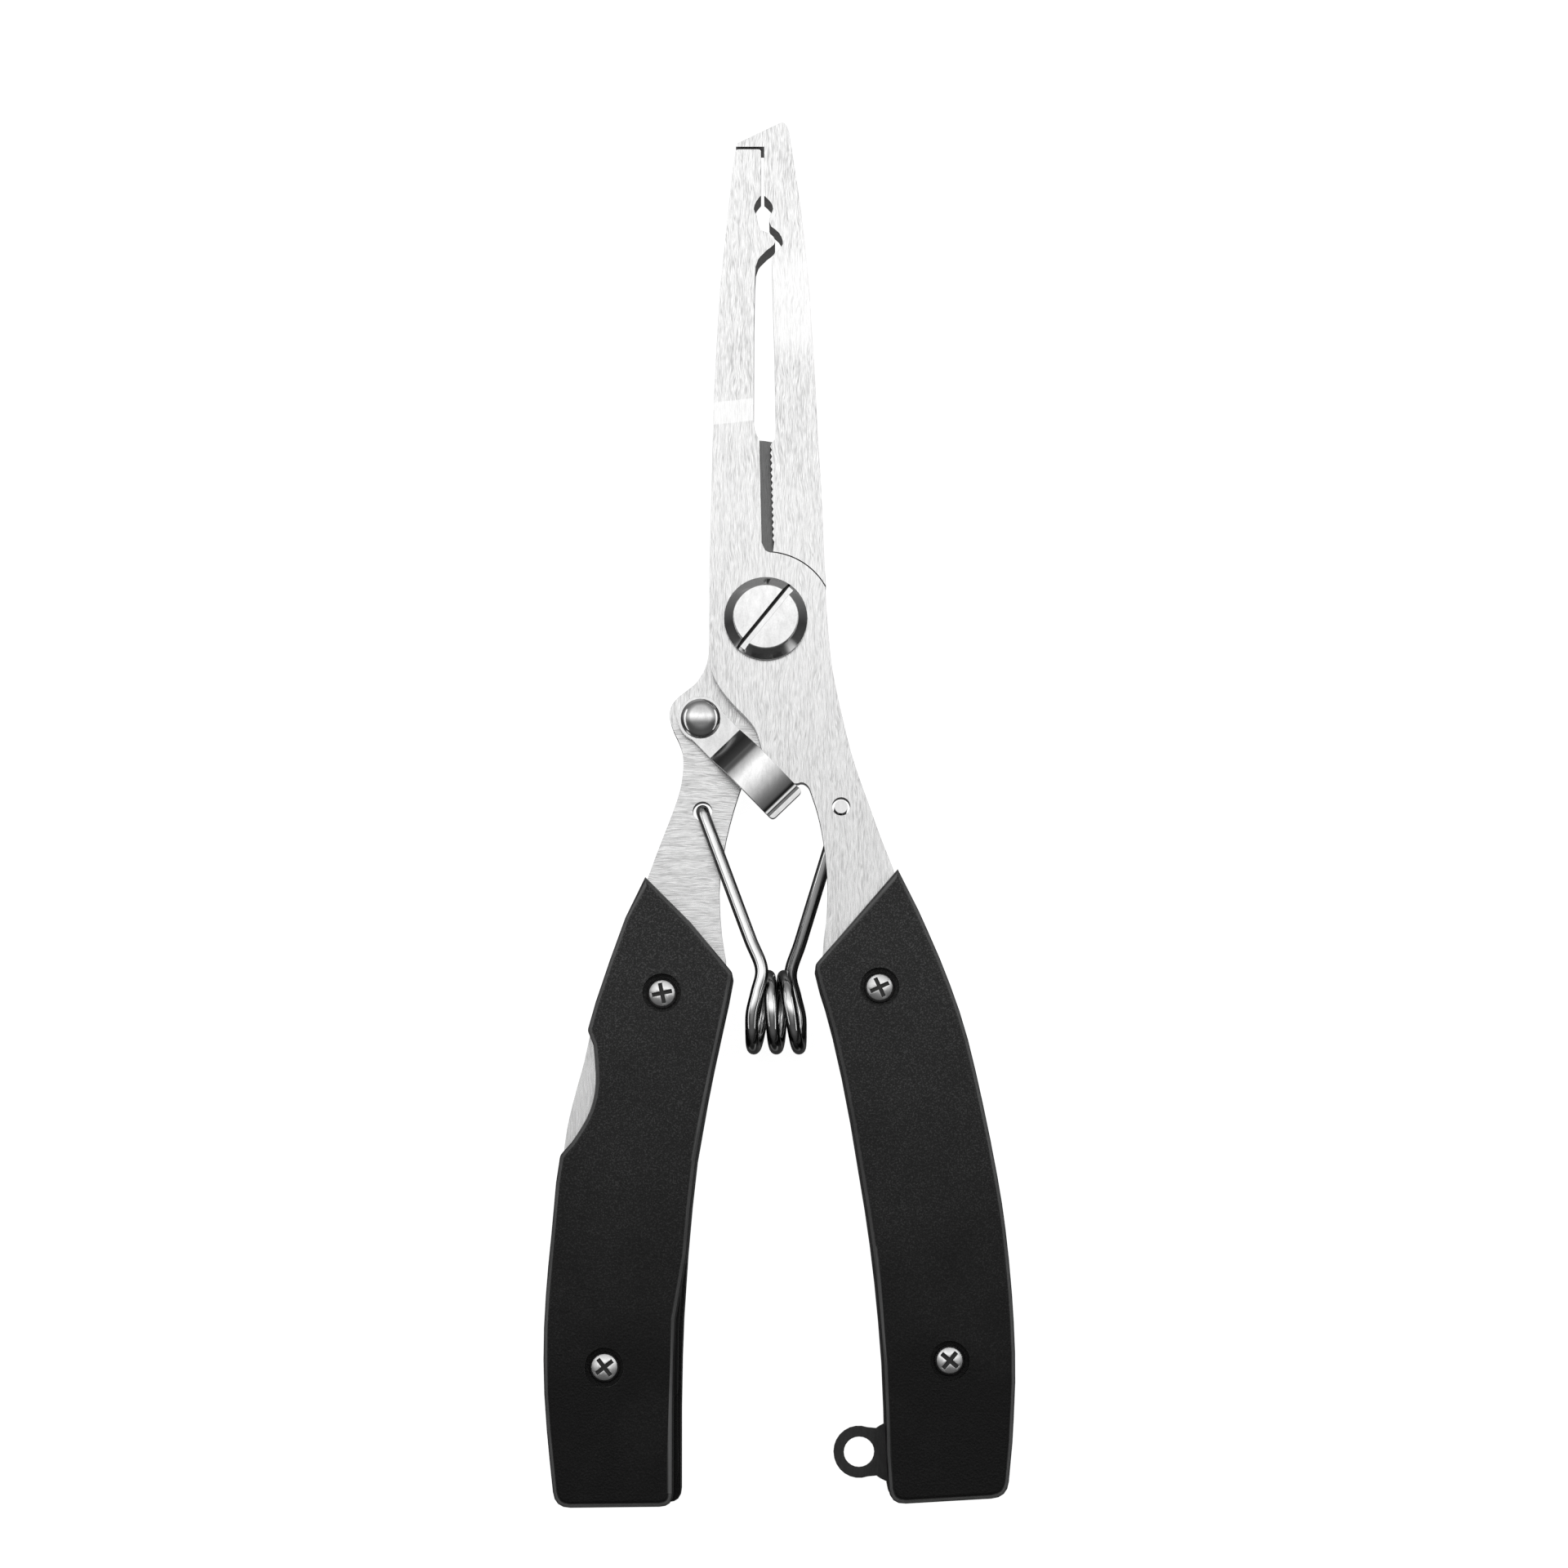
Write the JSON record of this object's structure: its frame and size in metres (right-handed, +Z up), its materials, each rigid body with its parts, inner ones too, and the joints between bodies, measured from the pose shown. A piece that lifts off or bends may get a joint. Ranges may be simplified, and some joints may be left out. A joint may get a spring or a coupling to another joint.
{
  "type": "fishing pliers",
  "caption": "Long-nose fishing pliers with crimp notches, side cutter, opening spring, swinging latch, black grips, a folding knife in one handle and a lanyard tab.",
  "frame": {"origin": "centre of the footprint, on the plane that the handles' back scales lie on", "axes": "+Y towards the jaw tips, +Z up out of the front face, +X towards the handle with the lanyard tab"},
  "size_m": [0.0704, 0.2122, 0.0153],
  "materials": {
    "lever_steel": "brushed",
    "polished_steel": "polished",
    "blade_steel": "satin",
    "dark_liner": "matt",
    "grip": "fine grain"
  },
  "bodies": {
    "back_half": {"back_lever": "lever_steel", "pivot_screw": "polished_steel", "pivot_nut": "polished_steel", "pivot_washer": "polished_steel", "opening_spring": "polished_steel", "latch_rivet": "polished_steel", "latch_washer": "polished_steel", "left_front_scale": "grip", "left_back_scale": "grip", "knife_back_spring": "lever_steel", "back_spring_pin": "lever_steel", "blade_stop_pin": "lever_steel", "left_upper_screw": "polished_steel", "left_upper_sleeve_nut": "polished_steel", "left_lower_screw": "polished_steel", "left_lower_sleeve_nut": "polished_steel"},
    "front_half": {"front_lever": "lever_steel", "right_front_scale": "grip", "right_back_scale": "grip", "lanyard_plate": "dark_liner", "right_upper_screw": "polished_steel", "right_upper_sleeve_nut": "polished_steel", "right_lower_screw": "polished_steel", "right_lower_sleeve_nut": "polished_steel"},
    "latch": {"latch_plate": "polished_steel"},
    "knife": {"knife_blade": "blade_steel"}
  },
  "joints": [
    {"name": "jaw_pivot", "type": "hinge", "parent": "back_half", "child": "front_half", "pos_m": [-0.0021, 0.02795, 0.009], "axis": [0, 0, 1], "range_deg": [0, 25], "stiffness_Nm_per_rad": 0.5, "springref_deg": 24.98, "deforming": ["opening_spring"]},
    {"name": "latch_swing", "type": "hinge", "parent": "back_half", "child": "latch", "pos_m": [-0.0121, 0.01275, 0.0087], "axis": [0, 0, 1], "range_deg": [-60, 0]},
    {"name": "knife_fold", "type": "hinge", "parent": "back_half", "child": "knife", "pos_m": [-0.0261, -0.08545, 0.0093], "axis": [0, 0, 1], "range_deg": [0, 180]}
  ]
}
